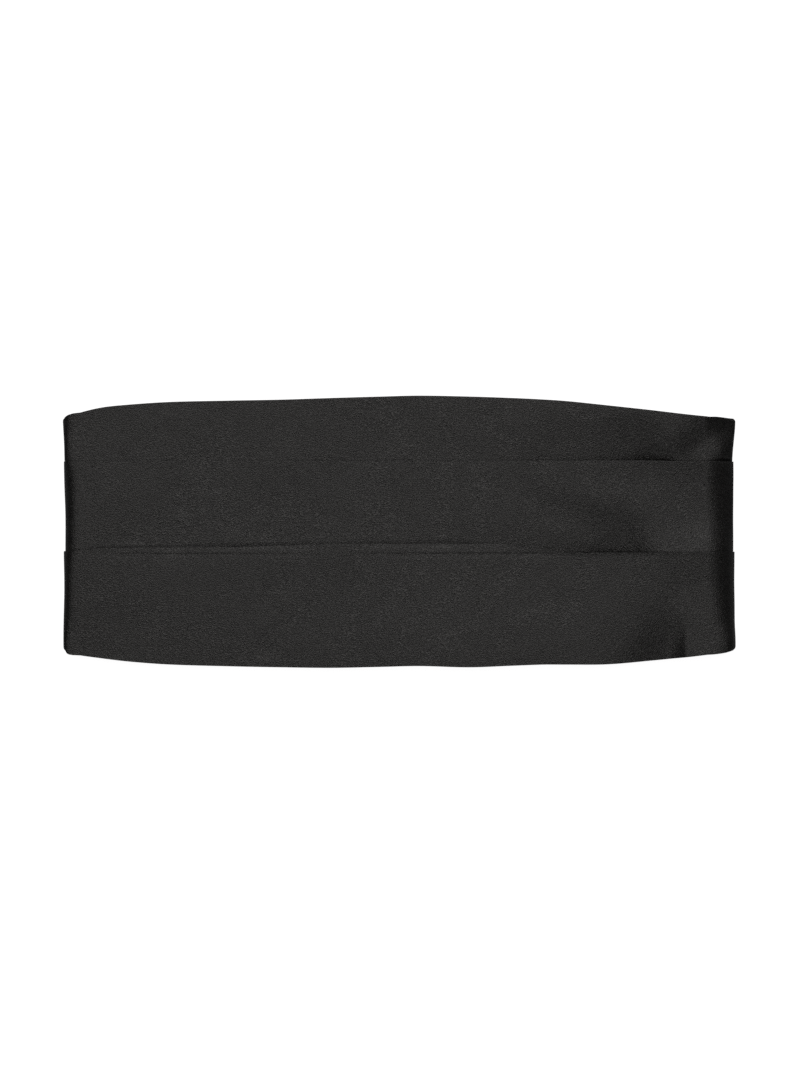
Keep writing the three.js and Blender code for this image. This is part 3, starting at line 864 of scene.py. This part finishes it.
def stitch_row(points, faces, start, end, surface):
    """Adds one row of stitches between two places on a surface, each a short rounded thread."""
    length = math.dist(start, end)
    count = int(length // STITCH_PITCH)
    for i in range(count):
        middle = (i + 0.5) / count
        half = STITCH_LONG / 2 / length
        ends = []
        for share in (middle - half, middle + half):
            ends.append(surface(*(a + (b - a) * share for a, b in zip(start, end))))
        run = (ends[1] - ends[0]).normalized()
        aside = run.cross(Vector((0, 0, 1))).normalized()
        above = aside.cross(run)
        faces.extend(tube(STITCH_RINGS + 1, STITCH_SIDES, first=len(points)))
        for k in range(STITCH_RINGS + 1):
            t = k / STITCH_RINGS
            round_end = max(1 - (2 * t - 1) ** STITCH_BLUNTNESS, STITCH_TIP)
            swell = STITCH_RADIUS * math.sqrt(round_end)
            centre = ends[0].lerp(ends[1], t)
            for s in range(STITCH_SIDES):
                turn = 2 * math.pi * s / STITCH_SIDES
                out = aside * math.cos(turn) + above * STITCH_FLATNESS * math.sin(turn)
                points.append(centre + out * swell)


def tab_stitches(name, side, material):
    """All the stitch rows of one tab, on its upper and its lower leaf."""
    points, faces = [], []
    for up in (True, False):
        def surface(x, y):
            p = sleeve_point(x, sleeve_angle(x, y, up))
            return Vector((side * p.x, p.y, p.z + (STITCH_LIFT if up else 0)))

        for from_end in STRAP_ROWS:
            x = PANEL_END + from_end
            top, bottom = sleeve_edges(x)
            stitch_row(points, faces, (x, bottom + STRAP_ROW_INSET), (x, top - STRAP_ROW_INSET),
                       surface)
        for from_mouth in MOUTH_ROWS:
            x = TAB_MOUTH + from_mouth
            stitch_row(points, faces, (x, -MOUTH_ROW_HALF), (x, MOUTH_ROW_HALF), surface)
        for edge, inset in ((0, -EDGE_ROW_INSET), (1, EDGE_ROW_INSET)):
            start, stop = TAB_MOUTH + EDGE_ROW_START, PANEL_END + EDGE_ROW_START
            stitch_row(points, faces, (start, sleeve_edges(start)[edge] + inset),
                       (stop, sleeve_edges(stop)[edge] + inset), surface)
    return make_piece(name, points, faces, material)


thread, shader, nodes, links = new_finish("black_thread")
shader.inputs["Roughness"].default_value = 0.5
shader.inputs["Specular IOR Level"].default_value = 0.3
ply = nodes.new("ShaderNodeTexNoise")
ply.inputs["Scale"].default_value = 2500
tone = nodes.new("ShaderNodeMapRange")
tone.inputs["To Min"].default_value = 0.008
tone.inputs["To Max"].default_value = 0.03
place = nodes.new("ShaderNodeTexCoord")
links.new(place.outputs["Object"], ply.inputs["Vector"])
links.new(ply.outputs["Fac"], tone.inputs["Value"])
links.new(tone.outputs["Result"], shader.inputs["Base Color"])

for word, side in (("left", -1), ("right", 1)):
    tab = sleeve(f"{word}_satin_end_tab", side)
    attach(tab, "root")
    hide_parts(f"{word}_end_tab")
    top, bottom = sleeve_edges(TAB_END)
    stitches = tab_stitches(f"{word}_tab_stitches", side, thread)
    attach(stitches, "root")


# The straps. Flat ribbed bands sewn into the end tabs. Each passes over the clasp's end bar, turns
# round it and runs back under itself. The ribs run straight across it.
STRAP_HALF = 15 * MM
STRAP_THICK = 0.9 * MM

# Its middle line: the level and place of its seat, its slope up to the bar, its turn, its free end.
STRAP_IN_TAB = 1.8 * MM
STRAP_SEAT = 46 * MM
SLOPE_START, SLOPE_END = 25.3 * MM, 16.3 * MM
TURN_X, TURN_Z, TURN_RADIUS = 11.5 * MM, 2.1 * MM, 1.6 * MM
RETURN_END = 28.5 * MM

RIB_PITCH = 1.1 * MM
RIB_HIGH = 0.07 * MM
RIB_STEPS = 8
RIBBED_SHARE = 0.9
SEAT_STEPS = 200
TURN_STEPS = 40
WEAVE_DARK = (0.006, 0.006, 0.006, 1)
WEAVE_PALE = (0.024, 0.024, 0.023, 1)

# Half of the strap's section, as shares of its half width and its thickness, with a firm selvedge.
SELVEDGE = [
    dict(across=0, thick=1),
    dict(across=0.3, thick=1),
    dict(across=0.6, thick=1),
    dict(across=0.8, thick=1),
    dict(across=0.88, thick=1),
    dict(across=0.905, thick=0.9),
    dict(across=0.925, thick=0.95),
    dict(across=0.95, thick=1.08),
    dict(across=0.975, thick=1.05),
    dict(across=0.99, thick=0.75),
    dict(across=1.0, thick=0),
]


def strap_line():
    """The strap's middle line from its seat to its free end, cut fine enough for its ribs."""
    line = []
    climb = TURN_Z + TURN_RADIUS - STRAP_IN_TAB
    for i in range(SEAT_STEPS):
        x = STRAP_SEAT + (TURN_X - STRAP_SEAT) * i / SEAT_STEPS
        z = STRAP_IN_TAB + climb * smooth_step(-x, -SLOPE_START, -SLOPE_END)
        line.append(Vector((x, 0, z)))
    for i in range(TURN_STEPS + 1):
        angle = math.pi * (0.5 + i / TURN_STEPS)
        across, up = TURN_RADIUS * math.cos(angle), TURN_RADIUS * math.sin(angle)
        line.append(Vector((TURN_X + across, 0, TURN_Z + up)))
    line.append(Vector((RETURN_END, 0, TURN_Z - TURN_RADIUS)))
    even = [line[0]]
    step = RIB_PITCH / RIB_STEPS
    travelled = 0
    for a, b in zip(line, line[1:]):
        run = (b - a).length
        while travelled + run >= step * len(even):
            even.append(a.lerp(b, (step * len(even) - travelled) / run))
        travelled += run
    return even, travelled


def strap_profile():
    """The strap's whole section as shares, from its left edge over the top and back below."""
    right = [(row["across"], row["thick"]) for row in SELVEDGE]
    left = [(-across, thick) for across, thick in reversed(right[1:])]
    upper = left + right
    lower = [(across, -thick) for across, thick in reversed(upper[1:-1])]
    return upper + lower


def woven_band(name, side, material):
    """The strap's section carried along its line, thicker at each rib. Also gives its length."""
    line, length = strap_line()
    profile = strap_profile()
    points = []
    for i, centre in enumerate(line):
        before, after = line[max(i - 1, 0)], line[min(i + 1, len(line) - 1)]
        run = (after - before).normalized()
        out = Vector((run.z, 0, -run.x))
        rib = RIB_HIGH * math.cos(2 * math.pi * i / RIB_STEPS)
        for across, thick in profile:
            ribbed = rib if abs(across) < RIBBED_SHARE else 0
            half = (STRAP_THICK / 2 + ribbed) * thick
            p = centre + out * half
            points.append(Vector((side * p.x, across * STRAP_HALF, p.z)))
    faces = tube(len(line), len(profile))
    if side < 0:
        faces = [tuple(reversed(face)) for face in faces]
    return make_piece(name, points, faces, material), length


weave, shader, nodes, links = new_finish("black_strap_weave")
shader.inputs["Specular IOR Level"].default_value = 0.2
place = nodes.new("ShaderNodeTexCoord")
yarn = nodes.new("ShaderNodeTexWave")
yarn.bands_direction = "Y"
yarn.inputs["Scale"].default_value = 900
yarn.inputs["Distortion"].default_value = 0.6
fuzz = nodes.new("ShaderNodeTexNoise")
fuzz.inputs["Scale"].default_value = 1800
both = nodes.new("ShaderNodeMath")
both.operation = "MULTIPLY"
tone = nodes.new("ShaderNodeMix")
tone.data_type = "RGBA"
tone.inputs["A"].default_value = WEAVE_DARK
tone.inputs["B"].default_value = WEAVE_PALE
rough = nodes.new("ShaderNodeMapRange")
rough.inputs["To Min"].default_value = 0.9
rough.inputs["To Max"].default_value = 0.6
raised = nodes.new("ShaderNodeBump")
raised.inputs["Distance"].default_value = 0.05 * MM
links.new(place.outputs["Object"], yarn.inputs["Vector"])
links.new(place.outputs["Object"], fuzz.inputs["Vector"])
links.new(yarn.outputs["Fac"], both.inputs[0])
links.new(fuzz.outputs["Fac"], both.inputs[1])
links.new(both.outputs["Value"], tone.inputs["Factor"])
links.new(both.outputs["Value"], rough.inputs["Value"])
links.new(both.outputs["Value"], raised.inputs["Height"])
links.new(tone.outputs["Result"], shader.inputs["Base Color"])
links.new(rough.outputs["Result"], shader.inputs["Roughness"])
links.new(raised.outputs["Normal"], shader.inputs["Normal"])

for word, side in (("left", -1), ("right", 1)):
    strap, length = woven_band(f"{word}_woven_strap", side, weave)
    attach(strap, "root")
    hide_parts(f"{word}_strap")


# The clasp. A plain flat slide of nickel-plated metal: a rounded plate with a window at each end
# for its strap and a wide bar between them. Its edges are eased all round.
CLASP_LONG, CLASP_HIGH, CLASP_THICK = 30 * MM, 39 * MM, 1.6 * MM
CLASP_LEVEL = 1.3 * MM
CLASP_CORNER = 3 * MM
CLASP_EASE = 0.3 * MM
WINDOW_NEAR, WINDOW_FAR, WINDOW_HALF = 3 * MM, 11.5 * MM, 16 * MM
WINDOW_CORNER = 1 * MM
CORNER_STEPS = 8
WELD = 0.002 * MM
SHARP_ANGLE = math.radians(40)

# The plate's brushing, as marks to a metre along it, across it and through it, and its colours.
BRUSH_MARKS = (120, 4000, 4000)
NICKEL_DARK = (0.42, 0.41, 0.39, 1)
NICKEL_PALE = (0.60, 0.59, 0.56, 1)


def rounded_outline(curve, low_x, high_x, half_y, radius):
    """Draws the plate's edge or a window's, a rectangle with round corners."""
    spline = curve.splines.new("POLY")
    outline = []
    corners = [(high_x - radius, half_y - radius, 0), (low_x + radius, half_y - radius, 1),
               (low_x + radius, radius - half_y, 2), (high_x - radius, radius - half_y, 3)]
    for x, y, quarter in corners:
        for i in range(CORNER_STEPS + 1):
            angle = math.pi / 2 * (quarter + i / CORNER_STEPS)
            outline.append((x + radius * math.cos(angle), y + radius * math.sin(angle)))
    spline.points.add(len(outline) - 1)
    for point, (x, y) in zip(spline.points, outline):
        point.co = (x, y, 0, 1)
    spline.use_cyclic_u = True


def slide_plate(name):
    """Fills the plate between its outlines, gives it its thickness and eases its edges."""
    curve = bpy.data.curves.new(name, "CURVE")
    curve.dimensions = "2D"
    curve.fill_mode = "BOTH"
    curve.extrude = CLASP_THICK / 2 - CLASP_EASE
    curve.bevel_depth = CLASP_EASE
    curve.bevel_resolution = 3
    curve.offset = -CLASP_EASE
    rounded_outline(curve, -CLASP_LONG / 2, CLASP_LONG / 2, CLASP_HIGH / 2, CLASP_CORNER)
    rounded_outline(curve, WINDOW_NEAR, WINDOW_FAR, WINDOW_HALF, WINDOW_CORNER)
    rounded_outline(curve, -WINDOW_FAR, -WINDOW_NEAR, WINDOW_HALF, WINDOW_CORNER)
    pattern = bpy.data.objects.new(name + "_pattern", curve)
    bpy.context.collection.objects.link(pattern)
    bpy.context.view_layer.update()
    solid = pattern.evaluated_get(bpy.context.evaluated_depsgraph_get())
    mesh = bpy.data.meshes.new_from_object(solid)
    bpy.data.objects.remove(pattern)
    for vertex in mesh.vertices:
        vertex.co.z += CLASP_LEVEL + CLASP_THICK / 2
    form = bmesh.new()
    form.from_mesh(mesh)
    bmesh.ops.remove_doubles(form, verts=form.verts, dist=WELD)
    bmesh.ops.recalc_face_normals(form, faces=form.faces)
    form.to_mesh(mesh)
    form.free()
    mesh.shade_smooth()
    mesh.set_sharp_from_angle(angle=SHARP_ANGLE)
    plate = bpy.data.objects.new(name, mesh)
    bpy.context.collection.objects.link(plate)
    return plate


nickel, shader, nodes, links = new_finish("clasp_nickel")
shader.inputs["Metallic"].default_value = 1
place = nodes.new("ShaderNodeTexCoord")
drawn = nodes.new("ShaderNodeMapping")
drawn.inputs["Scale"].default_value = BRUSH_MARKS
brushing = nodes.new("ShaderNodeTexNoise")
brushing.inputs["Scale"].default_value = 1
brushing.inputs["Detail"].default_value = 3
tone = nodes.new("ShaderNodeMix")
tone.data_type = "RGBA"
tone.inputs["A"].default_value = NICKEL_DARK
tone.inputs["B"].default_value = NICKEL_PALE
rough = nodes.new("ShaderNodeMapRange")
rough.inputs["To Min"].default_value = 0.22
rough.inputs["To Max"].default_value = 0.42
scratched = nodes.new("ShaderNodeBump")
scratched.inputs["Distance"].default_value = 0.006 * MM
links.new(place.outputs["Object"], drawn.inputs["Vector"])
links.new(drawn.outputs["Vector"], brushing.inputs["Vector"])
links.new(brushing.outputs["Fac"], tone.inputs["Factor"])
links.new(brushing.outputs["Fac"], rough.inputs["Value"])
links.new(brushing.outputs["Fac"], scratched.inputs["Height"])
links.new(tone.outputs["Result"], shader.inputs["Base Color"])
links.new(rough.outputs["Result"], shader.inputs["Roughness"])
links.new(scratched.outputs["Normal"], shader.inputs["Normal"])

clasp = slide_plate("nickel_clasp")
clasp.data.materials.append(nickel)
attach(clasp, "root")
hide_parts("clasp")
